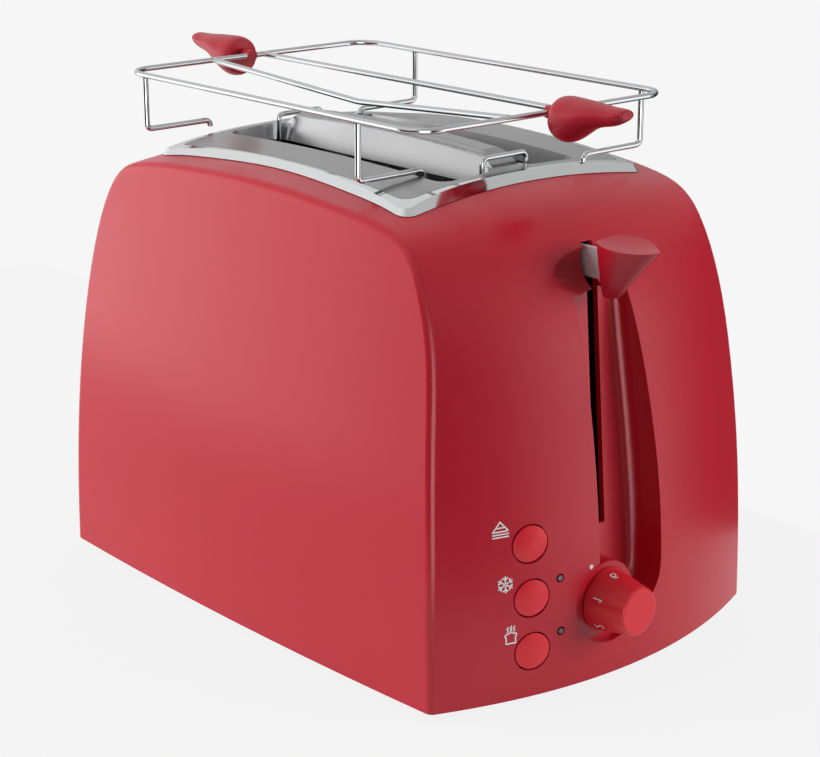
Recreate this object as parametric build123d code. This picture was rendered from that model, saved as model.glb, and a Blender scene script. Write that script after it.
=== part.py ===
from build123d import *
import math
import os

os.makedirs("parts", exist_ok=True)

# Driving sizes of the housing, millimetres, front of the toaster towards -Y
BASE_W = 181.3
BASE_L = 246.0
FRONT_BOW = 19.6
SIDE_BOW = 3.6
FOOT_H = 4.0
WALL = 2.5
CROWN_Z = 193.8
CROWN_K = 0.0009
CROWN_ARCH = 4.0
CROWN_HALF = 66.0
CREASE_R = 3.5

# Height stations with the inward lean of the long sides and of the ends
STATIONS = [
    (4.0, 0.0, 0.0),
    (70.0, 1.8, 3.0),
    (115.0, 5.5, 8.2),
    (150.0, 10.0, 15.0),
    (170.0, 12.4, 23.0),
    (180.0, 14.0, 30.2),
]
CROWN_Y = (76.0, 45.0)
BOW_AT_TOP = 0.35

# Driving sizes of the top, the bread slots and the chamber
PLATE_W = 130.0
PLATE_L = 159.0
BEVEL = 4.0
SLOT_X = 23.0
SLOT_W = 28.0
SLOT_L = 140.0
SLOT_R = 6.0
SLOT_FLARE = 12.0
SHEET = 0.8
PLATE_CORNER = 5.0
BEZEL_SEAT = 7.0
BEZEL_TAPER = 32.0
CHAMBER_Y = 72.0
CHAMBER_X = 60.0
FRAME_T = 1.2

# Roof over the top: distance from the middle, height there and fall towards the ends
ROOF = [
    (0.0, 198.6, 0.0003),
    (37.0, 197.9, 0.0004),
    (70.0, 198.0, 0.0014),
]
ROOF_Y = 95.0

# Driving sizes of the controls on the front
LEVER_TRAVEL = 88.0
LEVER_Z = 167.0
GROOVE_LEFT = -16.3
GROOVE_RIGHT = [
    (-4.0, 22.0),
    (4.0, 24.5),
    (12.2, 29.6),
    (17.3, 35.4),
    (19.8, 50.0),
    (19.6, 70.0),
    (17.6, 103.0),
    (13.0, 157.0),
]
GROOVE_R = 5.0
FLOOR_Y = -126.0
FLOOR_LEAN = 0.0785
FLOOR_Z = 35.0
LEVER_SLOT_W = 6.0
LEVER_SLOT_Z = (60.0, 174.5)
SCOOP = (24.0, 6.0, 10.0)
SCOOP_AT = (0.0, -119.5, 165.3)
SCOOP_LEAN = -29.0
KNOB_ROOT_Y = -124.2
KNOB_LEVELS = [
    (155.0, 6.0, 3.0),
    (158.0, 9.2, 4.9),
    (164.0, 14.6, 7.4),
    (170.0, 20.0, 9.4),
    (181.0, 29.4, 11.8),
]
KNOB_DISH = (50.0, -140.0, 225.5)
DIAL_X = -11.0
DIAL_Z = 35.2
DIAL_ROOT_Y = -139.2
DIAL_L = 18.0
DIAL_ROOT_R = 13.0
DIAL_END_R = 9.7
SEAT_R = 15.6
SEAT_Y = -138.7
BUTTON_X = -49.0
BUTTON_Z = (67.0, 45.0, 23.0)
BUTTON_R = 7.4
BUTTON_GAP = 0.6
BUTTON_DOME = 34.0
BUTTON_PROUD = 0.8
BUTTON_BACK_Y = -122.0
STEM_R = 2.2
LIGHT_X = -36.0
LIGHT_Z = (50.5, 28.5)
SHAFT_R = 3.0
LIGHT_R = 1.1
LIGHT_HOLE_R = 1.8
BUTTON_TRAVEL = 2.0
BOARD_Y = -106.0
BOARD_T = 1.6
BOARD_X = (-64.0, 13.0)
BOARD_TOP = 72.0
SWITCH_L = 7.0
POT_L = 8.0
ARM_T = 2.0
ARM_H = 12.0
ARM_END_Y = -131.0
FAR_Y = -170.0

# Driving sizes inside the housing
BASE_TOP = 7.0
FRAME_TOP = 180.0
DIVIDER_SLOPE = 12.0
DIVIDER_FOOT_X = 9.8
DIVIDER_TOP_X = 5.8
DIVIDER_R = 3.5
RIDGE_Z = 205.2
RIDGE_FALL = 3.2
RIDGE_RUN = 75.0
RIDGE_FOOT_Z = 195.0
FLANGE_Z = 190.0
LIFT_Z = 118.0
HEAT_X = 42.5
HEAT_Z = (42.0, 166.0)
REFLECT_X = 52.0
GUARD_R = 0.7
GUARD_RAIL_R = 1.0
GUARD_Z = (24.0, 176.0)
CLIP_X = 12.2
CLIP_Y = 66.0
CLIP_R = 1.1
CLIP_FOOT_Z = 184.0
CLIP_TOP_Z = 201.5
CLIP_BEND = 2.6
GUARD_STEP = 17.0
GUARD_COUNT = 8
WIND_R = 0.5
WIND_OFF = 1.15
WIND_STEP = 5.5
WIND_RUNS = 23
ROD_Y = -90.0
ROD_R = 2.5
KEEPER_X = 21.0
KEEPER_Y = -92.0
KEEPER_HALF = (7.0, 5.0)
KEEPER_T = 2.0
CORE_R = 4.5
BRACKET_T = 1.5
BRACKET_DROP = 8.0
BRACKET_UP = 6.0
SLEEVE_WALL = 2.5
SPRING_X = -17.0
SPRING_Y = -92.0
SPRING_R = 3.2
SPRING_WIRE = 0.5
SPRING_TURNS = 16

# Driving sizes of the base pieces
TRAY_X = 52.0
TRAY_Z = 8.0
TRAY_H = 6.0
TAB_HALF = 16.0
GLAND_X = -68.0
GLAND_Y = 129.0
GLAND_Z = 20.0
GLAND_R = 5.5
GLAND_BORE_R = 3.5
SCREW_X = 76.0
SCREW_Y = 62.0
SCREW_R = 1.5
SCREW_HEAD_R = 3.0
SCREW_LOW_Z = 2.2
SCREW_TOP_Z = 20.0
BOSS_R = 4.5
BOSS_TOP = 34.0
RIB_X = 91.4
RIB_T = 3.0
FOOT_X = 77.0
FOOT_Y = 106.0
FOOT_R = 9.0
FOOT_CHAMFER = 1.0

# Driving sizes of the warming rack
RACK_W = 136.0
RACK_L = 193.0
RACK_Y = 5.0
RACK_Z = 222.4
RACK_R = 12.0
WIRE_R = 1.25
NEAR_WIRE_X = -21.0
FAR_WIRE_X = 7.0
WIRE_DIP = 5.5
DIP_Y = -5.0
DIP_R = 40.0
MID_LEG_Y = 60.5
MID_FOOT_Z = 198.6
MID_HOOK = 3.0
END_LEG_Y = -82.0
END_FOOT_Z = 198.9
END_HOOK = 2.8
FOOT_REACH = 33.6
LEG_BEND = 2.5
GRIP_NECK = (95.0, 104.0, 2.6)
GRIP_SECTIONS = [
    (102.5, 7.6, 213.6, 228.8),
    (105.0, 9.0, 212.4, 229.9),
    (110.0, 9.2, 212.6, 230.1),
    (116.0, 8.6, 216.0, 229.8),
    (122.0, 7.4, 219.4, 229.4),
    (130.0, 5.6, 221.4, 228.9),
    (137.5, 3.4, 224.6, 228.5),
]

# Small gaps used between neighbouring pieces
SEAM = 0.3
RUN = 0.05
TOUCH = 0.05


def save(shape, name):
    export_step(shape, f"parts/{name}.step")
    print(name, [round(v, 1) for v in shape.bounding_box().size], len(shape.solids()))


def box(x0, x1, y0, y1, z0, z1):
    centre = Pos((x0 + x1) / 2, (y0 + y1) / 2, (z0 + z1) / 2)
    return centre * Box(x1 - x0, y1 - y0, z1 - z0)


def rod_x(r, x0, x1, y, z):
    return Pos((x0 + x1) / 2, y, z) * Rot(0, 90, 0) * Cylinder(r, x1 - x0)


def rod_y(r, x, y0, y1, z):
    return Pos(x, (y0 + y1) / 2, z) * Rot(90, 0, 0) * Cylinder(r, y1 - y0)


def rod_z(r, x, y, z0, z1):
    return Pos(x, y, (z0 + z1) / 2) * Cylinder(r, z1 - z0)


def tube(path, r):
    start = path.position_at(0)
    profile = Plane(start, z_dir=path.tangent_at(0)) * Circle(r)
    return sweep(profile, path=path)


# Outer form of the housing, pulled in everywhere by one inset
def bow_at(z):
    return FRONT_BOW * (1 - BOW_AT_TOP * (z / CROWN_Z) ** 4)


def end_profile(x, inset, drop):
    front = []
    for z, _, lean in STATIONS:
        bow = bow_at(z) * (1 - (2 * x / BASE_W) ** 2)
        front.append((BASE_L / 2 - lean + bow - inset, z))
    front[0] = (front[0][0], STATIONS[0][0] - drop)
    bow = bow_at(CROWN_Z) * (1 - (2 * x / BASE_W) ** 2) * 0.6
    crown = CROWN_Z + CROWN_ARCH * (1 - (x / CROWN_HALF) ** 2) - inset
    for y in CROWN_Y:
        front.append((y + bow, crown - CROWN_K * (y + bow) ** 2))
    points = [(x, -y, z) for y, z in front]
    points.append((x, 0, crown))
    points += [(x, y, z) for y, z in reversed(front)]
    curve = Spline(*points)
    return Face(Wire([curve, Line(curve @ 1, curve @ 0)]))


def side_profile(y, inset, drop):
    side = []
    bow = SIDE_BOW * (1 - (2 * y / BASE_L) ** 2)
    for z, lean, _ in STATIONS:
        side.append((BASE_W / 2 - lean + bow - inset, z))
    side[0] = (side[0][0], STATIONS[0][0] - drop)
    side.append((side[-1][0] - 1.2, CROWN_Z + 12))
    left = Spline(*[(-x, y, z) for x, z in side])
    right = Spline(*[(x, y, z) for x, z in side])
    top = Line(left @ 1, right @ 1)
    foot = Line(right @ 0, left @ 0)
    return Face(Wire([left, top, right, foot]))


def housing_form(inset, drop=0.0):
    ends = [end_profile(x, inset, drop) for x in (-100, -50, 0, 50, 100)]
    sides = [side_profile(y, inset, drop) for y in (-160, -80, 0, 80, 160)]
    return loft(ends) & loft(sides)


# Housing shell: hollow moulding, open below, creases rounded between sides and ends
outer = housing_form(0)
creases = [e for e in outer.edges() if e.bounding_box().max.Z > FOOT_H + 0.5]
shell = fillet(creases, CREASE_R) - housing_form(WALL, drop=1.0)
plate_hole = extrude(RectangleRounded(PLATE_W - 2 * BEVEL, PLATE_L - 2 * BEVEL, 8), 60)
shell = shell - Pos(0, 0, 160) * plate_hole


# Space ahead of the leaning groove floor, moved back by one shift
def floor_at(z):
    return FLOOR_Y + FLOOR_LEAN * (z - FLOOR_Z)


def ahead_of_floor(shift):
    edge = [(0, FAR_Y, 0), (0, floor_at(0) + shift, 0), (0, floor_at(200) + shift, 200), (0, FAR_Y, 200)]
    return extrude(make_face(Polyline(*edge, close=True)), 60, both=True)


def scoop_form(grow):
    a, b, c = (size + grow for size in SCOOP)
    return Pos(*SCOOP_AT) * Rot(SCOOP_LEAN, 0, 0) * scale(Sphere(1), by=(a, b, c))


# Lever groove, finger scoop and dial seat as thickened pockets behind the front face
skin_form = housing_form(0.6)
groove_foot, groove_top = GROOVE_RIGHT[0], GROOVE_RIGHT[-1]
pocket = box(GROOVE_LEFT - WALL, 20 + WALL, FAR_Y, 0, 18, groove_top[1] + WALL)
pocket = pocket & ahead_of_floor(WALL)
pocket += rod_y(SEAT_R + WALL, DIAL_X, FAR_Y, floor_at(DIAL_Z) + WALL, DIAL_Z)
pocket += scoop_form(WALL)
shell = shell + (pocket & skin_form)
right_edge = Spline(*GROOVE_RIGHT)
left_edge = Polyline(groove_top, (GROOVE_LEFT, groove_top[1]), (GROOVE_LEFT, DIAL_Z + 5), groove_foot)
groove_face = make_face([right_edge, left_edge])
groove = Rot(90, 0, 0) * extrude(groove_face, -FAR_Y)
groove = groove & ahead_of_floor(0)
floor_edges = [e for e in groove.edges() if abs((e @ 0.5).Y - floor_at((e @ 0.5).Z)) < 0.01]
floor_edges.sort(key=lambda e: -e.length)
groove = fillet(floor_edges[:2], GROOVE_R)
groove -= rod_y(SEAT_R, DIAL_X, FAR_Y, 0, DIAL_Z)
half_slot = LEVER_SLOT_W / 2
cuts = groove + scoop_form(0)
cuts += box(-half_slot, half_slot, FAR_Y, -90, *LEVER_SLOT_Z)
cuts += rod_y(DIAL_ROOT_R + 4.5, DIAL_X, FAR_Y, SEAT_Y, DIAL_Z)
cuts += rod_y(SHAFT_R + RUN, DIAL_X, FAR_Y, -90, DIAL_Z)
for z in BUTTON_Z:
    cuts += rod_y(BUTTON_R + BUTTON_GAP, BUTTON_X, FAR_Y, -90, z)
for z in LIGHT_Z:
    cuts += rod_y(LIGHT_HOLE_R, LIGHT_X, FAR_Y, -90, z)
cuts += box(-TRAY_X - 1.0, TRAY_X + 1.0, 90, 170, TRAY_Z - 0.6, TRAY_Z + TRAY_H + 0.6)
cuts += rod_y(GLAND_R + 0.1, GLAND_X, 90, 170, GLAND_Z)
shell = shell - cuts
for sx in (-1, 1):
    for sy in (-1, 1):
        boss_x = sx * SCREW_X
        boss_y = sy * SCREW_Y
        rib_x = sorted((boss_x, sx * RIB_X))
        boss = rod_z(BOSS_R, boss_x, boss_y, BASE_TOP, BOSS_TOP)
        boss += box(*rib_x, boss_y - RIB_T / 2, boss_y + RIB_T / 2, BASE_TOP, BOSS_TOP)
        shell = shell + (boss - rod_z(SCREW_R + 0.1, boss_x, boss_y, BASE_TOP, SCREW_TOP_Z + 2))
save(shell, "body_shell")

# Base: floor plate, rubber feet, screws and the cord gland
base = housing_form(WALL + SEAM) & box(-120, 120, -170, 170, FOOT_H, BASE_TOP)
screw_spots = [(sx * SCREW_X, sy * SCREW_Y) for sx in (-1, 1) for sy in (-1, 1)]
for x, y in screw_spots:
    base -= rod_z(SCREW_R + 0.2, x, y, 0, SCREW_TOP_Z)
save(base, "base_plate")
feet = [rod_z(FOOT_R, sx * FOOT_X, sy * FOOT_Y, 0, FOOT_H) for sx in (-1, 1) for sy in (-1, 1)]
feet = [chamfer(f.edges().group_by(Axis.Z)[0], FOOT_CHAMFER) for f in feet]
save(Compound(children=feet), "rubber_feet")
screws = []
for x, y in screw_spots:
    head = rod_z(SCREW_HEAD_R, x, y, SCREW_LOW_Z, FOOT_H)
    screws.append(head + rod_z(SCREW_R, x, y, FOOT_H, SCREW_TOP_Z))
save(Compound(children=screws), "base_screws")
gland = rod_y(GLAND_R, GLAND_X, GLAND_Y - 12, GLAND_Y + 4, GLAND_Z)
gland -= rod_y(GLAND_BORE_R, GLAND_X, GLAND_Y - 20, GLAND_Y + 20, GLAND_Z)
save(gland, "cord_gland")

# Top plate: arched sheet with two flanged bread slots, and the chrome bevel round it
def roof_form(drop):
    faces = []
    for x, top, fall in [(-x, top, fall) for x, top, fall in reversed(ROOF)] + ROOF[1:]:
        end = top - drop - fall * ROOF_Y ** 2
        arch = ThreePointArc((x, -ROOF_Y, end), (x, 0, top - drop), (x, ROOF_Y, end))
        skirt = Polyline((x, ROOF_Y, end), (x, ROOF_Y, 150), (x, -ROOF_Y, 150), (x, -ROOF_Y, end))
        faces.append(Face(Wire([arch, *skirt.edges()])))
    return loft(faces)


slot_in = SLOT_X - SLOT_W / 2
slot_out = SLOT_X + SLOT_W / 2
edge_x = PLATE_W / 2 - BEVEL - 1.3
edge_y = PLATE_L / 2 - BEVEL - 1.3
plate_edge = extrude(RectangleRounded(2 * edge_x, 2 * edge_y, PLATE_CORNER), 300)
plate = (roof_form(0) - roof_form(SHEET)) & plate_edge
under_roof = roof_form(SHEET / 2) & box(-65, 65, -90, 90, FLANGE_Z, 250)
rim_face = Pos(0, 0, FLANGE_Z) * RectangleRounded(SLOT_W, SLOT_L, SLOT_R)
clear_face = RectangleRounded(SLOT_W - 2 * SHEET, SLOT_L - 2 * SHEET, SLOT_R - SHEET)
rim = extrude(rim_face, 20, taper=-SLOT_FLARE)
clear = extrude(Pos(0, 0, FLANGE_Z) * clear_face, 20, taper=-SLOT_FLARE) + extrude(clear_face, FLANGE_Z)
for sx in (-1, 1):
    slot_spot = Pos(sx * SLOT_X, 0, 0)
    plate = plate + (slot_spot * rim & under_roof) - slot_spot * clear
straight = SLOT_L / 2 - SLOT_R
plate -= box(-DIVIDER_FOOT_X, DIVIDER_FOOT_X, -straight, straight, 0, 300)


# Divider between the slots: hollow arched ridge with sloped ends
ridge_r = RIDGE_RUN ** 2 / (2 * RIDGE_FALL)
ridge_axis = Axis((0, 0, RIDGE_Z - ridge_r), (1, 0, 0))


def bend(face):
    half = revolve(Plane.XZ * face, ridge_axis, 11)
    return half + mirror(half, Plane.XZ)


def divider_form(inset):
    top = RIDGE_Z - inset
    foot_x = DIVIDER_FOOT_X - inset
    top_x = DIVIDER_TOP_X - inset
    line = [(-foot_x, FLANGE_Z), (-top_x, top), (top_x, top), (foot_x, FLANGE_Z)]
    arch = FilletPolyline(*line, radius=DIVIDER_R - inset)
    form = bend(make_face([*arch.edges(), Line(line[-1], line[0])]))
    run = SLOT_L / 2 - DIVIDER_SLOPE - inset
    foot = SLOT_L / 2 - inset
    low = RIDGE_FOOT_Z
    side = [(0, -foot, 150), (0, -foot, low), (0, -run, top - 2), (0, 0, top + 20)]
    side += [(0, run, top - 2), (0, foot, low), (0, foot, 150)]
    return form & extrude(make_face(Polyline(*side, close=True)), SLOT_X, both=True)


ridge = divider_form(0) & box(-90, 90, -90, 90, FLANGE_Z, 250)
hollow = divider_form(SHEET)
plate = plate - hollow + (ridge - hollow)
save(plate, "top_plate")
bezel_base = Pos(0, 0, 186) * RectangleRounded(PLATE_W + BEZEL_SEAT, PLATE_L + BEZEL_SEAT, 8)
bezel = extrude(bezel_base, 20, taper=BEZEL_TAPER)
bezel_in = extrude(RectangleRounded(2 * edge_x + 0.4, 2 * edge_y + 0.4, PLATE_CORNER + 0.2), 300)
bezel = (bezel - bezel_in) & roof_form(0)
bezel = bezel - housing_form(-0.25)
save(bezel, "top_bezel")

# Toasting chamber: steel end frames, side reflectors and their passages
mast = CHAMBER_Y + FRAME_T
front_frame = box(-CHAMBER_X, CHAMBER_X, -mast, -CHAMBER_Y, BASE_TOP, FRAME_TOP)
front_frame += box(-26, 26, ROD_Y - 8, -CHAMBER_Y, FRAME_TOP - FRAME_T, FRAME_TOP)
rear_frame = box(-CHAMBER_X, CHAMBER_X, CHAMBER_Y, mast, BASE_TOP, FRAME_TOP)
rear_frame -= box(-TRAY_X - 1, TRAY_X + 1, 0, 100, BASE_TOP, TRAY_Z + TRAY_H + 1)
for sx in (-1, 1):
    slit = box(sx * SLOT_X - 2.2, sx * SLOT_X + 2.2, -100, 100, 18, LIFT_Z + 6)
    front_frame -= slit
    rear_frame -= slit
save(front_frame, "front_frame")
save(rear_frame, "rear_frame")
for side, sx in (("left", -1), ("right", 1)):
    panel = box(-0.3, 0.3, -CHAMBER_Y, CHAMBER_Y, 20, FRAME_TOP - 4)
    save(Pos(sx * REFLECT_X, 0, 0) * panel, f"{side}_reflector")

# Heaters: three insulating boards, each wound with one unbroken wire
def winding(x):
    pieces = []
    low = HEAT_Z[0] + 1
    high = HEAT_Z[1] - 1
    reach = math.hypot(WIND_OFF, WIND_STEP / 2)
    start = -WIND_STEP * (WIND_RUNS - 1) / 2
    for i in range(WIND_RUNS):
        y = start + i * WIND_STEP
        side = x + (WIND_OFF if i % 2 == 0 else -WIND_OFF)
        turn = high if i % 2 == 0 else low
        from_z = low if i % 2 == 0 else high
        pieces.append(Line((side, y, from_z), (side, y, turn)))
        if i < WIND_RUNS - 1:
            over = turn + (reach if i % 2 == 0 else -reach)
            mid = (x, y + WIND_STEP / 2, over)
            pieces.append(ThreePointArc((side, y, turn), mid, (2 * x - side, y + WIND_STEP, turn)))
    return Wire(pieces)


for name, x in (("left", -HEAT_X), ("centre", 0), ("right", HEAT_X)):
    sheet = box(x - 0.5, x + 0.5, -CHAMBER_Y, CHAMBER_Y, *HEAT_Z)
    save(sheet, f"heater_board_{name}")
    save(tube(winding(x), WIND_R), f"heater_wire_{name}")
print("least gap in a heater winding", round(math.hypot(WIND_STEP, 2 * WIND_OFF) - 2 * WIND_R, 2))

# Bread guards: upright wires on two rails, a pair in each slot
guard_xs = {
    "left_outer": -slot_out + 1.0,
    "left_inner": -slot_in - 1.0,
    "right_inner": slot_in + 1.0,
    "right_outer": slot_out - 1.0,
}
for name, x in guard_xs.items():
    guard = rod_y(GUARD_RAIL_R, x, -CHAMBER_Y, CHAMBER_Y, GUARD_Z[0])
    guard += rod_y(GUARD_RAIL_R, x, -CHAMBER_Y, CHAMBER_Y, GUARD_Z[1])
    for i in range(GUARD_COUNT):
        guard += rod_z(GUARD_R, x, (i - (GUARD_COUNT - 1) / 2) * GUARD_STEP, *GUARD_Z)
    save(guard, f"guard_{name}")
clips = []
for sy in (-1, 1):
    hoop = [(-CLIP_X, sy * CLIP_Y, CLIP_FOOT_Z), (-CLIP_X, sy * CLIP_Y, CLIP_TOP_Z)]
    hoop += [(-x, y, z) for x, y, z in reversed(hoop)]
    clips.append(tube(Wire(FilletPolyline(*hoop, radius=CLIP_BEND).edges()), CLIP_R))
save(Compound(children=clips), "divider_clips")

# Carriage: bracket on a guide rod, two bread lifts, lever arm, knob and latch keeper
save(rod_z(ROD_R, 0, ROD_Y, BASE_TOP, FRAME_TOP - FRAME_T), "guide_rod")
back_y = -mast - 2.0
plate_y = back_y - BRACKET_T
low_z = LIFT_Z - BRACKET_DROP
head_z = LEVER_Z + BRACKET_UP
keep_x, keep_y = KEEPER_HALF
keeper_span = (KEEPER_X - keep_x, KEEPER_X + keep_x)
bracket = box(-SLOT_X - 5, SLOT_X + 5, plate_y, back_y, low_z, LIFT_Z + 2)
bracket += box(-10, 10, plate_y, back_y, low_z, head_z)
bracket += box(-3, 3, ROD_Y, back_y, LIFT_Z, head_z)
bracket += rod_z(ROD_R + SLEEVE_WALL, 0, ROD_Y, LIFT_Z, head_z)
bracket += box(*keeper_span, KEEPER_Y - keep_y, back_y, low_z, low_z + BRACKET_T)
bracket += box(SPRING_X - 3, SPRING_X + 3, SPRING_Y - 3, back_y, low_z, low_z + BRACKET_T)
bracket -= rod_z(ROD_R + RUN, 0, ROD_Y, 0, 250)
save(bracket, "carriage_bracket")
for side, sx in (("left", -1), ("right", 1)):
    lift_x = sx * SLOT_X
    lift = box(lift_x - 7, lift_x + 7, -SLOT_L / 2, SLOT_L / 2, LIFT_Z - 1.2, LIFT_Z)
    lift += box(lift_x - 0.8, lift_x + 0.8, back_y, CHAMBER_Y + 5, LIFT_Z - 7, LIFT_Z)
    save(lift, f"bread_lift_{side}")
arm_z = (LEVER_Z - ARM_H / 2, LEVER_Z + ARM_H / 2)
arm = box(-ARM_T / 2, ARM_T / 2, ARM_END_Y, ROD_Y - ROD_R - SLEEVE_WALL, *arm_z)
save(arm, "lever_arm")
keeper = box(*keeper_span, KEEPER_Y - keep_y, KEEPER_Y + keep_y, low_z - KEEPER_T, low_z)
save(keeper, "latch_keeper")


def leaf(z, length, half):
    side = [(0.62, 0.04), (1.0, 0.36), (0.66, 0.74)]
    right = [(half * a, KNOB_ROOT_Y - length * b) for a, b in side]
    left = [(-x, y) for x, y in reversed(right)]
    tip = (0, KNOB_ROOT_Y - length)
    line = Spline((0, KNOB_ROOT_Y), *right, tip, *left, periodic=True)
    return Pos(0, 0, z) * make_face(line)


dish_r, dish_y, dish_z = KNOB_DISH
knob = loft([leaf(*level) for level in KNOB_LEVELS])
knob -= Pos(0, dish_y, dish_z) * Sphere(dish_r)
arm_hole = ARM_T / 2 + RUN
knob -= box(-arm_hole, arm_hole, ARM_END_Y - RUN, -100, arm_z[0] - RUN, arm_z[1] + RUN)
save(knob, "lever_knob")

# Crumb tray: shallow drawer under the chamber, pull tab out of the back
tray = box(-TRAY_X, TRAY_X, -CHAMBER_Y + 2, 150, TRAY_Z, TRAY_Z + TRAY_H)
tray = tray & housing_form(0.4)
tray -= box(-TRAY_X + 1, TRAY_X - 1, -CHAMBER_Y + 3, 112, TRAY_Z + 1, TRAY_Z + TRAY_H + 1)
tab_y = DIAL_L - DIAL_ROOT_Y
tray += box(-TAB_HALF, TAB_HALF, 132, tab_y, TRAY_Z + 1.5, TRAY_Z + TRAY_H - 1.5)
save(tray, "crumb_tray")

# Return spring: one unbroken coil from the frame's top tab to the carriage
spring_top = FRAME_TOP - FRAME_T - TOUCH
spring_foot = low_z + BRACKET_T + TOUCH
quarter = (spring_top - spring_foot - 2 * SPRING_WIRE) / (4 * SPRING_TURNS)
points = []
for i in range(8 * SPRING_TURNS + 1):
    a = math.pi / 4 * i
    z = spring_foot + SPRING_WIRE + quarter * i / 2
    points.append((SPRING_X + SPRING_R * math.cos(a), SPRING_Y + SPRING_R * math.sin(a), z))
coil = [ThreePointArc(*points[i:i + 3]) for i in range(0, len(points) - 1, 2)]
save(tube(Wire(coil), SPRING_WIRE), "carriage_spring")
print("least gap in the spring", round(4 * quarter - 2 * SPRING_WIRE, 2))

# Electrical pieces: latch magnet, control board, switches, potentiometer and lights
magnet_top = low_z - KEEPER_T - LEVER_TRAVEL - SEAM
magnet = box(*keeper_span, KEEPER_Y - keep_y, KEEPER_Y + keep_y, BASE_TOP, BASE_TOP + 3)
magnet += rod_z(CORE_R, KEEPER_X, KEEPER_Y, BASE_TOP, magnet_top)
save(magnet, "latch_magnet")
save(box(*BOARD_X, BOARD_Y, BOARD_Y + BOARD_T, BASE_TOP, BOARD_TOP), "control_board")
switch_y = BOARD_Y - SWITCH_L
switches = [box(BUTTON_X - 3, BUTTON_X + 3, switch_y, BOARD_Y, z - 3, z + 3) for z in BUTTON_Z]
save(Compound(children=switches), "button_switches")
pot = box(DIAL_X - 9, DIAL_X + 9, BOARD_Y - POT_L, BOARD_Y, DIAL_Z - 9, DIAL_Z + 9)
save(pot, "dial_potentiometer")
flush_form = housing_form(-0.15)
lights = [rod_y(LIGHT_R, LIGHT_X, FAR_Y, BOARD_Y, z) & flush_form for z in LIGHT_Z]
save(Compound(children=lights), "indicator_lights")

# Push buttons: round domed caps that stand square to the bowed front and a little proud of it
tilt = math.atan(8 * FRONT_BOW * -BUTTON_X / BASE_W ** 2)
for name, z in zip(("cancel", "defrost", "reheat"), BUTTON_Z):
    probe = outer & rod_y(0.2, BUTTON_X, FAR_Y, 0, z)
    face_y = probe.bounding_box().min.Y - BUTTON_PROUD
    centre = (BUTTON_X + BUTTON_DOME * math.sin(tilt), face_y + BUTTON_DOME * math.cos(tilt), z)
    cap = rod_y(BUTTON_R, BUTTON_X, FAR_Y, BUTTON_BACK_Y, z) & (Pos(*centre) * Sphere(BUTTON_DOME))
    cap = cap + rod_y(STEM_R, BUTTON_X, BUTTON_BACK_Y - 2, switch_y - BUTTON_TRAVEL - SEAM, z)
    save(cap, f"button_{name}")

# Browning dial: tapered knob on a shaft through the groove floor
dial = Pos(DIAL_X, DIAL_ROOT_Y, DIAL_Z) * Rot(90, 0, 0) * Cone(
    DIAL_ROOT_R, DIAL_END_R, DIAL_L, align=(Align.CENTER, Align.CENTER, Align.MIN)
)
dial = fillet(dial.edges().group_by(Axis.Y)[0], 1.2)
dial += rod_y(SHAFT_R, DIAL_X, DIAL_ROOT_Y - 2, BOARD_Y - POT_L - SEAM, DIAL_Z)
save(dial, "browning_dial")

# Warming rack: rim wire, two lengthwise wires, four legs and two grips
middle = Pos(0, RACK_Y, 0)
rim = RectangleRounded(RACK_W, RACK_L, RACK_R).wire()
save(middle * tube(Pos(0, 0, RACK_Z) * rim, WIRE_R), "rack_rim")
wire_end = RACK_L / 2 - WIRE_R - TOUCH
sag = [(-wire_end, RACK_Z), (DIP_Y, RACK_Z - WIRE_DIP), (wire_end, RACK_Z)]
sag = FilletPolyline(*[(NEAR_WIRE_X, y, z) for y, z in sag], radius=DIP_R)
near_wire = tube(Wire(sag.edges()), WIRE_R)
far_wire = rod_y(WIRE_R, FAR_WIRE_X, -wire_end, wire_end, RACK_Z)
save(Compound(children=[middle * near_wire, middle * far_wire]), "rack_wires")
leg_top = RACK_Z - WIRE_R - TOUCH
legs = []
for sign in (-1, 1):
    for y, foot_z, hook in ((MID_LEG_Y, MID_FOOT_Z, MID_HOOK), (END_LEG_Y, END_FOOT_Z, END_HOOK)):
        post = RACK_W / 2
        stop = post - FOOT_REACH
        line = [(post, y, leg_top), (post, y, foot_z), (stop, y, foot_z), (stop, y, foot_z - hook)]
        line = [(sign * a, sign * b, c) for a, b, c in line]
        legs.append(middle * tube(Wire(FilletPolyline(*line, radius=LEG_BEND).edges()), WIRE_R))
save(Compound(children=legs), "rack_legs")
ovals = []
for y, half, low, high in GRIP_SECTIONS:
    plane = Plane((0, -y, (low + high) / 2), x_dir=(1, 0, 0), z_dir=(0, -1, 0))
    ovals.append(plane * Ellipse(half, (high - low) / 2))
grip = loft(ovals)
grip = fillet(grip.edges(), 1.2)
neck_in, neck_out, neck_r = GRIP_NECK
grip += rod_y(neck_r, 0, -neck_out, -neck_in, RACK_Z)
grip -= rod_x(WIRE_R + TOUCH, -30, 30, -RACK_L / 2, RACK_Z)
save(middle * grip, "rack_grip_front")
save(middle * Rot(0, 0, 180) * grip, "rack_grip_rear")
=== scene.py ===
# %% [markdown]
# # A red pop-up toaster with a warming rack
# The measured model of the toaster comes in first and stays where it is. Every cell after that
# dresses it: finishes for the plastic, steel and wire, printed marks on the front, then the light,
# the floor and the camera. Work in metres, with the lever end towards -Y and +Z up.

# %% load the measured model
import math
import bpy
import bmesh
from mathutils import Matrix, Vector
from mathutils.bvhtree import BVHTree


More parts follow.
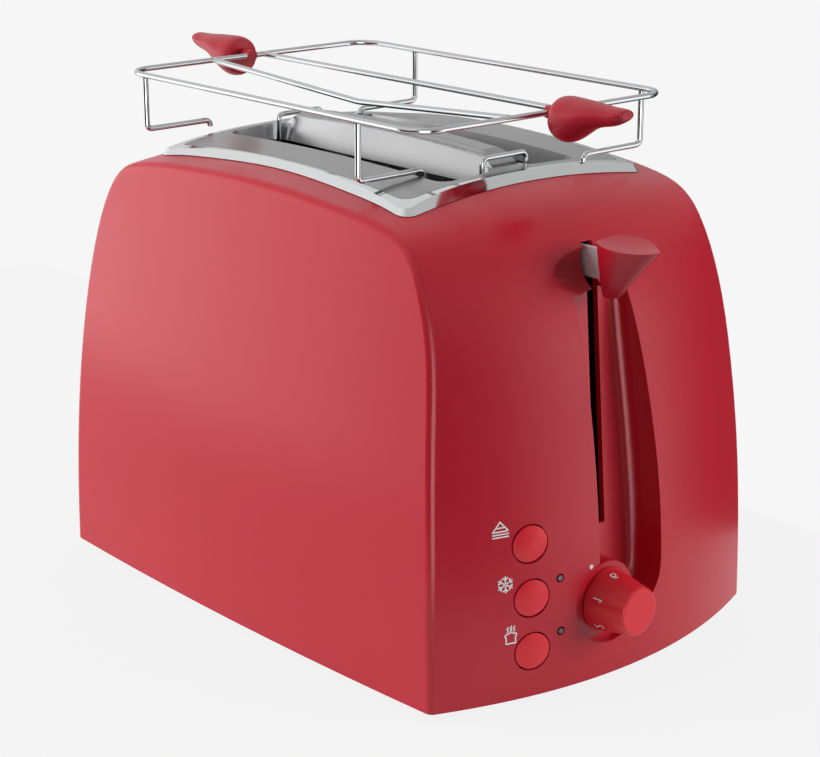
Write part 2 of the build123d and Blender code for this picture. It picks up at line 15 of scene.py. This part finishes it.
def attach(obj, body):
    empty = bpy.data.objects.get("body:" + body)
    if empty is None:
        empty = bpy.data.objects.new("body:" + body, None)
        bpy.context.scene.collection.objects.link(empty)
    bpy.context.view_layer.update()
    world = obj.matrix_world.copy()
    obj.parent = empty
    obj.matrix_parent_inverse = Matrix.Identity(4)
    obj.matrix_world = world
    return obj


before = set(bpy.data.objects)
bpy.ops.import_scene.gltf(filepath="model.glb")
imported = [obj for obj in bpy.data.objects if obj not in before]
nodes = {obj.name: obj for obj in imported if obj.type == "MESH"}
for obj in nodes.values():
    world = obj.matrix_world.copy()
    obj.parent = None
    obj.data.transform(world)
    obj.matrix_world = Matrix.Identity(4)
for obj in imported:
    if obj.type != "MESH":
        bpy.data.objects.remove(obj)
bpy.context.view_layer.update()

# %% [markdown]
# ## Small effects that several finishes share
# Real surfaces are never one flat colour. Moulded plastic has a fine spark-eroded grain, rolled
# steel has long faint lines, and everything that is handled has slow, cloudy changes in gloss.
# Each of those is a node group with named sockets, so a finish can use it with its own numbers.
# The groups only hand out values; the shader itself stays in the material.

# %% node group helpers
NUMBER = "NodeSocketFloat"
NOISE_MIDDLE = 0.5


def new_group(name, inputs, outputs):
    group = bpy.data.node_groups.new(name, "ShaderNodeTree")
    for label, value in inputs:
        socket = group.interface.new_socket(label, in_out="INPUT", socket_type=NUMBER)
        socket.default_value = value
    for label in outputs:
        group.interface.new_socket(label, in_out="OUTPUT", socket_type=NUMBER)
    enter = group.nodes.new("NodeGroupInput")
    leave = group.nodes.new("NodeGroupOutput")
    return group, enter, leave


def put(tree, kind, **settings):
    node = tree.nodes.new(kind)
    for key, value in settings.items():
        setattr(node, key, value)
    return node


def math_node(tree, operation, a, b):
    node = put(tree, "ShaderNodeMath", operation=operation)
    for index, item in enumerate((a, b)):
        if isinstance(item, (int, float)):
            node.inputs[index].default_value = item
        else:
            tree.links.new(item, node.inputs[index])
    return node.outputs[0]


def swing_roughness(group, enter, leave, noise):
    centred = math_node(group, "SUBTRACT", noise.outputs["Fac"], NOISE_MIDDLE)
    swing = math_node(group, "MULTIPLY", centred, enter.outputs["Roughness Swing"])
    rough = math_node(group, "ADD", swing, enter.outputs["Roughness"])
    group.links.new(rough, leave.inputs["Roughness"])


print("helpers ready")


# %% [markdown]
# ## Moulded grain
# A mould for plastic is spark-eroded, which leaves a fine, even pebble all over the moulding. It
# could be modelled or painted, but it is far too small for either, so one fine noise gives the
# height and one slow noise gives the cloudy change in gloss.

# %% moulded grain: a fine even pebble for plastics
def make_grain_group():
    group, enter, leave = new_group(
        "moulded_grain",
        [("Grain Size", 1400.0), ("Cloud Size", 9.0), ("Roughness", 0.36),
         ("Roughness Swing", 0.06)],
        ["Height", "Roughness", "Cloud"],
    )
    link = group.links.new
    where = put(group, "ShaderNodeTexCoord")
    pebble = put(group, "ShaderNodeTexNoise")
    pebble.inputs["Detail"].default_value = 2.0
    cloud = put(group, "ShaderNodeTexNoise")
    cloud.inputs["Detail"].default_value = 4.0
    link(where.outputs["Object"], pebble.inputs["Vector"])
    link(where.outputs["Object"], cloud.inputs["Vector"])
    link(enter.outputs["Grain Size"], pebble.inputs["Scale"])
    link(enter.outputs["Cloud Size"], cloud.inputs["Scale"])
    swing_roughness(group, enter, leave, cloud)
    link(pebble.outputs["Fac"], leave.inputs["Height"])
    link(cloud.outputs["Fac"], leave.inputs["Cloud"])
    return group


grain_group = make_grain_group()
print("group", grain_group.name)


# %% [markdown]
# ## Rolled lines
# Sheet and wire pass between rolls or through a die, which draws long faint lines in one
# direction. The same kind of noise makes them when its space is stretched: many steps across the
# sheet, few along it.

# %% rolled lines: long faint streaks along the sheet
def make_rolled_group():
    group, enter, leave = new_group(
        "rolled_lines",
        [("Across", 900.0), ("Along", 14.0), ("Roughness", 0.3), ("Roughness Swing", 0.12)],
        ["Height", "Roughness", "Streak"],
    )
    link = group.links.new
    where = put(group, "ShaderNodeTexCoord")
    stretch = put(group, "ShaderNodeCombineXYZ")
    link(enter.outputs["Across"], stretch.inputs["X"])
    link(enter.outputs["Along"], stretch.inputs["Y"])
    link(enter.outputs["Across"], stretch.inputs["Z"])
    scaled = put(group, "ShaderNodeVectorMath", operation="MULTIPLY")
    link(where.outputs["Object"], scaled.inputs[0])
    link(stretch.outputs["Vector"], scaled.inputs[1])
    streak = put(group, "ShaderNodeTexNoise")
    streak.inputs["Scale"].default_value = 1.0
    streak.inputs["Detail"].default_value = 3.0
    link(scaled.outputs["Vector"], streak.inputs["Vector"])
    swing_roughness(group, enter, leave, streak)
    link(streak.outputs["Fac"], leave.inputs["Height"])
    link(streak.outputs["Fac"], leave.inputs["Streak"])
    return group


rolled_group = make_rolled_group()
print("group", rolled_group.name)


# %% [markdown]
# ## Finishes
# A finish starts from a Principled shader. The colour wanders a little between two close tones
# under the slow cloud, the gloss swings with it, and a very low bump carries the grain. One
# builder serves every finish, so plastics and metals differ only in their numbers.

# %% finish builder
PLASTIC_IOR = 1.46
PLASTIC_SWING = 0.05
PEBBLE_DEPTH = 0.00006
STREAK_DEPTH = 0.00004


def finish(name, tone_a, tone_b, group, values, bump, depth, mask, metallic=0.0):
    material = bpy.data.materials.new(name)
    material.use_nodes = True
    tree = material.node_tree
    link = tree.links.new
    shader = tree.nodes["Principled BSDF"]
    shader.inputs["Metallic"].default_value = metallic
    shader.inputs["IOR"].default_value = PLASTIC_IOR
    effect = put(tree, "ShaderNodeGroup", node_tree=group)
    for key, value in values.items():
        effect.inputs[key].default_value = value
    tones = put(tree, "ShaderNodeMix", data_type="RGBA")
    tones.inputs["A"].default_value = (*tone_a, 1.0)
    tones.inputs["B"].default_value = (*tone_b, 1.0)
    link(effect.outputs[mask], tones.inputs["Factor"])
    link(tones.outputs["Result"], shader.inputs["Base Color"])
    link(effect.outputs["Roughness"], shader.inputs["Roughness"])
    relief = put(tree, "ShaderNodeBump")
    relief.inputs["Strength"].default_value = bump
    relief.inputs["Distance"].default_value = depth
    link(effect.outputs["Height"], relief.inputs["Height"])
    link(relief.outputs["Normal"], shader.inputs["Normal"])
    return material


def plastic(name, tone_a, tone_b, roughness, bump=0.12, grain=1400.0):
    values = {"Grain Size": grain, "Roughness": roughness, "Roughness Swing": PLASTIC_SWING}
    return finish(name, tone_a, tone_b, grain_group, values, bump, PEBBLE_DEPTH, "Cloud")


def metal(name, tone_a, tone_b, roughness, swing, bump=0.05, across=900.0, along=14.0):
    values = {"Across": across, "Along": along, "Roughness": roughness, "Roughness Swing": swing}
    return finish(name, tone_a, tone_b, rolled_group, values, bump, STREAK_DEPTH, "Streak",
                  metallic=1.0)


def dress(material, *names):
    for name in names:
        slots = nodes[name].data.materials
        if len(slots) == 0:
            slots.append(material)
        for index in range(len(slots)):
            slots[index] = material
    print(material.name, "on", len(names), "nodes")


print("finish builder ready")

# %% [markdown]
# ## Plastics
# The housing is a satin red moulding: dark and saturated where it mirrors nothing bright, pinkish
# where it mirrors a wide pale wall. The buttons and the dial are a brighter red, the grips a
# deeper one. A separate gloss coat could be laid over the red, but one smooth shader with hardly
# any bump gives the same soft sheen and exports whole.

# %% plastics
red_shell = plastic("red_moulding", (0.44, 0.009, 0.024), (0.50, 0.012, 0.030), 0.29, bump=0.03)
red_soft = plastic("red_controls", (0.66, 0.018, 0.030), (0.74, 0.024, 0.038), 0.32, bump=0.08)
red_grip = plastic("red_grips", (0.34, 0.010, 0.022), (0.40, 0.014, 0.028), 0.36, bump=0.04)
black_base = plastic("black_moulding", (0.018, 0.018, 0.019), (0.03, 0.03, 0.031), 0.5)
foot_grey = plastic("grey_rubber", (0.13, 0.13, 0.135), (0.19, 0.19, 0.19), 0.7,
                    bump=0.3, grain=700.0)
mica = plastic("mica_board", (0.42, 0.34, 0.22), (0.56, 0.48, 0.34), 0.55,
               bump=0.3, grain=260.0)
board_green = plastic("circuit_board", (0.02, 0.11, 0.04), (0.03, 0.16, 0.06), 0.4)
arm_pale = plastic("pale_lever_arm", (0.62, 0.62, 0.63), (0.72, 0.72, 0.73), 0.4, bump=0.03)
lens_dark = plastic("lamp_lens", (0.12, 0.10, 0.10), (0.18, 0.16, 0.16), 0.16, bump=0.02)
dress(red_shell, "body_shell", "lever_knob")
dress(red_grip, "rack_grip_front", "rack_grip_rear")
dress(red_soft, "browning_dial", "button_cancel", "button_defrost", "button_reheat")
dress(black_base, "base_plate", "cord_gland", "button_switches", "dial_potentiometer")
dress(foot_grey, "rubber_feet")
dress(mica, "heater_board_left", "heater_board_centre", "heater_board_right")
dress(board_green, "control_board")
dress(lens_dark, "indicator_lights")
dress(arm_pale, "lever_arm")

# %% [markdown]
# ## Metals
# The top plate is satin steel sheet, its bevel is mirror chrome, and the rack is bright wire. The
# plate mirrors the room softly, so it is rougher and darker than the bevel round it. Inside sit
# plain zinc-plated parts, dark heating wire and a copper coil, which show only through the slots.

# %% metals
satin_steel = metal("satin_steel", (0.35, 0.35, 0.355), (0.40, 0.40, 0.405), 0.26, 0.04,
                    bump=0.008, across=2600.0)
chrome = metal("mirror_chrome", (0.70, 0.72, 0.72), (0.76, 0.78, 0.78), 0.07, 0.04, bump=0.01)
wire_chrome = metal("chromed_wire", (0.50, 0.51, 0.52), (0.57, 0.58, 0.59), 0.12, 0.06,
                    bump=0.02, across=400.0)
zinc = metal("zinc_plate", (0.50, 0.51, 0.52), (0.60, 0.61, 0.62), 0.34, 0.2,
             across=300.0, along=60.0)
heat_wire = metal("resistance_wire", (0.20, 0.18, 0.16), (0.30, 0.28, 0.25), 0.45, 0.2)
copper = metal("copper_winding", (0.45, 0.18, 0.08), (0.56, 0.24, 0.11), 0.35, 0.15)
dress(satin_steel, "top_plate")
dress(chrome, "top_bezel")
dress(wire_chrome, "rack_rim", "rack_wires", "rack_legs", "divider_clips", "guard_left_outer",
      "guard_left_inner", "guard_right_inner", "guard_right_outer")
dress(zinc, "base_screws", "front_frame", "rear_frame", "left_reflector", "right_reflector",
      "guide_rod", "carriage_spring", "carriage_bracket", "bread_lift_left", "bread_lift_right",
      "latch_keeper", "crumb_tray")
dress(heat_wire, "heater_wire_left", "heater_wire_centre", "heater_wire_right")
dress(copper, "latch_magnet")

# %% [markdown]
# ## Printed marks
# The front carries small white prints: a sign beside each button, a dot that the dial points past,
# and plain numbers on the dial. They could be a picture laid on the surface, but thin strokes of
# real mesh stay sharp at any size. Each stroke is a flat ribbon: for every point a ray finds the
# housing, and the ribbon floats a tenth of a millimetre above it.

# %% ribbons on the bowed front
MM = 0.001
PRINT_LIFT = 0.00012
RAY_START_Y = -0.4
RIBBON_STEP = 0.5
CAP_SHARE = 0.3
shell_tree = BVHTree.FromObject(nodes["body_shell"], bpy.context.evaluated_depsgraph_get())


def on_front(x, z):
    hit = shell_tree.ray_cast(Vector((x, RAY_START_Y, z)), Vector((0, 1, 0)))
    return Vector((x, hit[0].y - PRINT_LIFT, z))


def lay_at(x0, z0):
    def lay(u, v):
        return on_front((x0 + u) * MM, (z0 + v) * MM)
    return lay


def ribbon_faces(builder, stroke, width, lay):
    for (u0, v0), (u1, v1) in zip(stroke, stroke[1:]):
        run = Vector((u1 - u0, v1 - v0))
        steps = max(1, int(run.length / RIBBON_STEP))
        side = Vector((-run.y, run.x)).normalized() * width / 2
        cap = run.normalized() * width * CAP_SHARE
        last = None
        for i in range(steps + 1):
            stretch = -1 if i == 0 else (1 if i == steps else 0)
            spot = Vector((u0, v0)) + run * (i / steps) + cap * stretch
            pair = [builder.verts.new(lay(*(spot + side))), builder.verts.new(lay(*(spot - side)))]
            if last:
                builder.faces.new((last[0], last[1], pair[1], pair[0]))
            last = pair


def print_mark(name, strokes, width, lay, body, material):
    builder = bmesh.new()
    for stroke in strokes:
        ribbon_faces(builder, stroke, width, lay)
    mesh = bpy.data.meshes.new(name)
    builder.to_mesh(mesh)
    builder.free()
    mesh.materials.append(material)
    piece = bpy.data.objects.new(name, mesh)
    bpy.context.collection.objects.link(piece)
    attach(piece, body)
    print("print", name, len(mesh.polygons), "faces")


def arc(cu, cv, r, start, stop, count=14):
    turn = [math.radians(start + (stop - start) * i / count) for i in range(count + 1)]
    return [(cu + r * math.cos(a), cv + r * math.sin(a)) for a in turn]


print_white = plastic("white_print", (0.80, 0.80, 0.80), (0.88, 0.88, 0.88), 0.45, bump=0.02)

# %% [markdown]
# ## Signs beside the buttons
# The three signs tell what the buttons do: a lift sign to stop, a snow crystal to thaw and a
# steaming slice to warm up. Each is a list of strokes in millimetres round its own middle, which
# keeps the drawing apart from the place where it is laid.

# %% signs beside the buttons
SIGN_STROKE = 0.55
SNOW_REACH = 3.3
TWIG_ROOT = 1.9
TWIG_LENGTH = 1.3
TWIG_LEAN = 0.9
eject_sign = [
    [(-3.3, -0.6), (0.0, 3.2), (3.3, -0.6), (-3.3, -0.6)],
    [(-1.6, 0.9), (1.6, 0.9)],
    [(-3.3, -1.7), (3.3, -1.7)],
    [(-3.3, -2.8), (3.3, -2.8)],
]
snow_sign = []
for k in range(6):
    a = math.radians(60 * k + 30)
    snow_sign.append([(0.0, 0.0), (SNOW_REACH * math.cos(a), SNOW_REACH * math.sin(a))])
    root = (TWIG_ROOT * math.cos(a), TWIG_ROOT * math.sin(a))
    for lean in (-TWIG_LEAN, TWIG_LEAN):
        twig = (root[0] + TWIG_LENGTH * math.cos(a + lean),
                root[1] + TWIG_LENGTH * math.sin(a + lean))
        snow_sign.append([root, twig])
slice_top = (arc(-1.7, 0.1, 0.75, 250, 60, 8) + arc(0.0, -0.2, 1.5, 120, 60, 5)
             + arc(1.7, 0.1, 0.75, 120, -70, 8))
slice_sign = [
    [(-2.0, -0.4), (-2.0, -3.2), (2.0, -3.2), (2.0, -0.4)],
    slice_top,
    [(-1.5, 1.6), (-1.0, 2.3), (-1.5, 3.0), (-1.0, 3.7)],
    [(-0.1, 1.9), (0.4, 2.6), (-0.1, 3.3), (0.4, 4.0)],
    [(1.2, 1.6), (1.7, 2.3), (1.2, 3.0), (1.7, 3.7)],
]
signs = [
    ("sign_cancel", -61.3, 74.7, eject_sign),
    ("sign_defrost", -60.2, 52.7, snow_sign),
    ("sign_reheat", -58.4, 31.4, slice_sign),
]
for name, x0, z0, strokes in signs:
    print_mark(name, strokes, SIGN_STROKE, lay_at(x0, z0), "housing", print_white)

# %% [markdown]
# ## Pointer dot and dial numbers
# A white dot on the housing shows which number is chosen, and the numbers run round the dial's
# tapered side. They ride on the dial, so they turn with it. Each stroke is wrapped round the taper
# by turning its sideways measure into an angle at the radius found there.

# %% pointer dot and dial numbers
DOT_X, DOT_Z = -20.8, 51.7
DOT_STROKE = 0.95
NUMBER_STROKE = 0.5
NUMBER_LIFT = 0.12
NUMBER_ALONG = 5.8
FIRST_NUMBER, NUMBER_STEP = 158.3, 60.0
DIAL_ROOT, DIAL_END, DIAL_LONG = 13.0, 9.7, 18.0
DIAL_AT = Vector((-11.0, -139.2, 35.2))
dot = [arc(0, 0, 0.45, 0, 360, 12), [(-0.4, 0), (0.4, 0)]]
digits = {
    "1": [[(-0.7, 1.0), (0.2, 1.8), (0.2, -1.8)]],
    "2": [arc(0, 0.8, 1.0, 160, -30, 8) + [(-1.0, -1.8), (1.1, -1.8)]],
    "3": [arc(0, 0.85, 0.95, 150, -80, 9) + arc(0, -0.85, 0.95, 80, -150, 9)],
    "4": [[(0.6, -1.8), (0.6, 1.8), (-1.1, -0.7), (1.2, -0.7)]],
    "5": [[(1.0, 1.8), (-0.8, 1.8), (-0.9, 0.2)] + arc(0, -0.65, 1.1, 130, -140, 10)],
    "6": [arc(0.2, 0.0, 1.3, 80, 190, 6) + arc(0.0, -0.8, 1.05, 180, 540, 14)],
}


def lay_number(middle):
    def lay(u, v):
        along = NUMBER_ALONG + v
        radius = DIAL_ROOT + (DIAL_END - DIAL_ROOT) * along / DIAL_LONG + NUMBER_LIFT
        a = math.radians(middle) - u / radius
        return (DIAL_AT + Vector((radius * math.cos(a), -along, radius * math.sin(a)))) * MM
    return lay


print_mark("pointer_dot", dot, DOT_STROKE, lay_at(DOT_X, DOT_Z), "housing", print_white)
for step, (label, strokes) in enumerate(digits.items()):
    lay_round = lay_number(FIRST_NUMBER + NUMBER_STEP * step)
    print_mark(f"dial_number_{label}", strokes, NUMBER_STROKE, lay_round, "dial", print_white)

# %% [markdown]
# ## Studio
# A cut-out catalogue picture has an even pale ground and a room whose walls differ in tone: bright
# beside the long panel, bright ahead of the lever end, dark where the photographer stands. The
# world paints those walls round the compass, and a second ring of tones for the ceiling. Only
# reflections see them, while the camera sees an even pale tone.

# %% world: walls round the compass
PALE = 0.922
AMBIENT = 0.16
BRIGHTEST = 5.0
WALL_TOP, CEILING_FOOT = 0.12, 0.40
WALLS = [
    (0, 0.03), (12, 0.12), (40, 0.42), (70, 0.85), (98, 0.95), (110, 2.7), (121, 2.4), (132, 1.9),
    (138, 1.9), (147, 0.08), (215, 0.05), (224, 4.9), (248, 4.9), (256, 0.05), (268, 0.03),
    (280, 0.25), (289, 0.80), (297, 1.50), (309, 1.90), (321, 1.60), (331, 0.60), (340, 0.10),
]
CEILING = [(0, 0.62), (60, 0.80), (100, 0.92), (180, 0.92), (240, 0.55), (300, 0.58)]
world = bpy.data.worlds.new("pale_room")
bpy.context.scene.world = world
world.use_nodes = True
wtree = world.node_tree
wlink = wtree.links.new
sky = wtree.nodes["Background"]
sky.inputs["Color"].default_value = (1.0, 1.0, 1.0, 1.0)
path = put(wtree, "ShaderNodeLightPath")
where = put(wtree, "ShaderNodeTexCoord")
split = put(wtree, "ShaderNodeSeparateXYZ")
wlink(where.outputs["Generated"], split.inputs["Vector"])
turn = math_node(wtree, "ARCTAN2", split.outputs["Y"], split.outputs["X"])
compass = math_node(wtree, "FRACT", math_node(wtree, "DIVIDE", turn, 2 * math.pi), 0.0)


def round_compass(levels):
    ramp = put(wtree, "ShaderNodeValToRGB")
    wlink(compass, ramp.inputs["Fac"])
    stops = ramp.color_ramp.elements
    while len(stops) < len(levels) + 1:
        stops.new(0.5)
    for stop, (angle, level) in zip(stops, levels + [(360, levels[0][1])]):
        stop.position = angle / 360
        stop.color = (level / BRIGHTEST, level / BRIGHTEST, level / BRIGHTEST, 1.0)
    return math_node(wtree, "MULTIPLY", ramp.outputs["Color"], BRIGHTEST)


overhead = put(wtree, "ShaderNodeMapRange", interpolation_type="SMOOTHSTEP")
overhead.inputs["From Min"].default_value = WALL_TOP
overhead.inputs["From Max"].default_value = CEILING_FOOT
wlink(split.outputs["Z"], overhead.inputs["Value"])
room = put(wtree, "ShaderNodeMix", data_type="FLOAT")
wlink(round_compass(WALLS), room.inputs["A"])
wlink(round_compass(CEILING), room.inputs["B"])
wlink(overhead.outputs["Result"], room.inputs["Factor"])
seen = math_node(wtree, "MAXIMUM", path.outputs["Is Camera Ray"],
                 path.outputs["Is Transmission Ray"])
mirrored = math_node(wtree, "MULTIPLY", path.outputs["Is Glossy Ray"], room.outputs["Result"])
shown = math_node(wtree, "MAXIMUM", math_node(wtree, "MULTIPLY", seen, PALE), mirrored)
soft = math_node(wtree, "MULTIPLY", path.outputs["Is Diffuse Ray"], AMBIENT)
wlink(math_node(wtree, "MAXIMUM", shown, soft), sky.inputs["Strength"])
print("world with", len(WALLS), "wall tones and", len(CEILING), "ceiling tones")

# %% [markdown]
# ## Floor
# The toaster stands on a pale sheet that runs into the ground without an edge. A plain white floor
# would need much more light than the toaster can take, so the floor glows by itself where the
# camera looks at it, and a small share of its real shading keeps the shadow.

# %% floor that keeps the shadow
FLOOR_BOX = (-0.32, 0.18, -0.28, 0.60)
FLOOR_TONE = 0.80
FLOOR_ROUGHNESS = 0.9
GLOW_SEEN = 0.93
GLOW_MIRRORED = 0.7
floor_mesh = bpy.data.meshes.new("floor")
x0, x1, y0, y1 = FLOOR_BOX
floor_mesh.from_pydata([(x0, y0, 0), (x1, y0, 0), (x1, y1, 0), (x0, y1, 0)], [], [(0, 1, 2, 3)])
floor = bpy.data.objects.new("floor", floor_mesh)
bpy.context.collection.objects.link(floor)
pale = bpy.data.materials.new("pale_floor")
pale.use_nodes = True
ftree = pale.node_tree
flink = ftree.links.new
ground = ftree.nodes["Principled BSDF"]
ground.inputs["Roughness"].default_value = FLOOR_ROUGHNESS
ground.inputs["Base Color"].default_value = (FLOOR_TONE, FLOOR_TONE, FLOOR_TONE, 1.0)
glow = put(ftree, "ShaderNodeEmission")
glow.inputs["Color"].default_value = (PALE, PALE, PALE, 1.0)
fpath = put(ftree, "ShaderNodeLightPath")
direct = math_node(ftree, "MULTIPLY", fpath.outputs["Is Camera Ray"], GLOW_SEEN)
second = math_node(ftree, "MAXIMUM", fpath.outputs["Is Glossy Ray"],
                   fpath.outputs["Is Transmission Ray"])
share = math_node(ftree, "MAXIMUM", direct, math_node(ftree, "MULTIPLY", second, GLOW_MIRRORED))
both = put(ftree, "ShaderNodeMixShader")
flink(share, both.inputs["Fac"])
flink(ground.outputs["BSDF"], both.inputs[1])
flink(glow.outputs["Emission"], both.inputs[2])
flink(both.outputs["Shader"], ftree.nodes["Material Output"].inputs["Surface"])
floor_mesh.materials.append(pale)
print("floor ready")


# %% [markdown]
# ## Lamps
# Two wide soft lamps give most of the light, one from the left and behind, one from the right and
# ahead, and a weak one hangs overhead. They are hidden from reflections, so no lamp shows as a
# hard patch in the chrome: there the painted walls do that work.

# %% lamps
def soft_lamp(name, place, target, size, watts):
    lamp = bpy.data.lights.new(name, "AREA")
    lamp.shape = "RECTANGLE"
    lamp.size, lamp.size_y = size
    lamp.energy = watts
    holder = bpy.data.objects.new(name, lamp)
    holder.location = place
    aim = Vector(target) - Vector(place)
    holder.rotation_euler = aim.to_track_quat("-Z", "Y").to_euler()
    holder.visible_glossy = False
    bpy.context.collection.objects.link(holder)
    print(name, watts, "W")


soft_lamp("side_lamp", (-1.5, 1.05, 0.75), (-0.1, 0.0, 0.1), (1.3, 1.2), 38.0)
soft_lamp("front_lamp", (1.45, -1.90, 0.85), (0.0, -0.1, 0.1), (1.3, 1.4), 44.0)
soft_lamp("top_lamp", (0.1, 0.3, 1.7), (0.0, 0.0, 0.2), (1.3, 1.3), 8.0)

# %% [markdown]
# ## Camera
# The picture was taken from the front left, a little above the toaster. The place and the lens
# come from solving the housing's corners and creases against the picture; the frame is 820 by 757.

# %% camera
SENSOR_WIDTH = 36.0
LENS = 91.903
CAMERA_AT = (-0.57681, -0.66418, 0.36847)
LOOK_ALONG = Vector((0.6301, 0.7162, -0.3001))
eye = bpy.data.cameras.new("catalogue_camera")
eye.sensor_width = SENSOR_WIDTH
eye.lens = LENS
stand = bpy.data.objects.new("catalogue_camera", eye)
stand.location = CAMERA_AT
stand.rotation_euler = LOOK_ALONG.to_track_quat("-Z", "Y").to_euler()
bpy.context.collection.objects.link(stand)
bpy.context.scene.camera = stand
bpy.context.scene.view_settings.view_transform = "Standard"
print("camera", [round(v, 4) for v in stand.location])
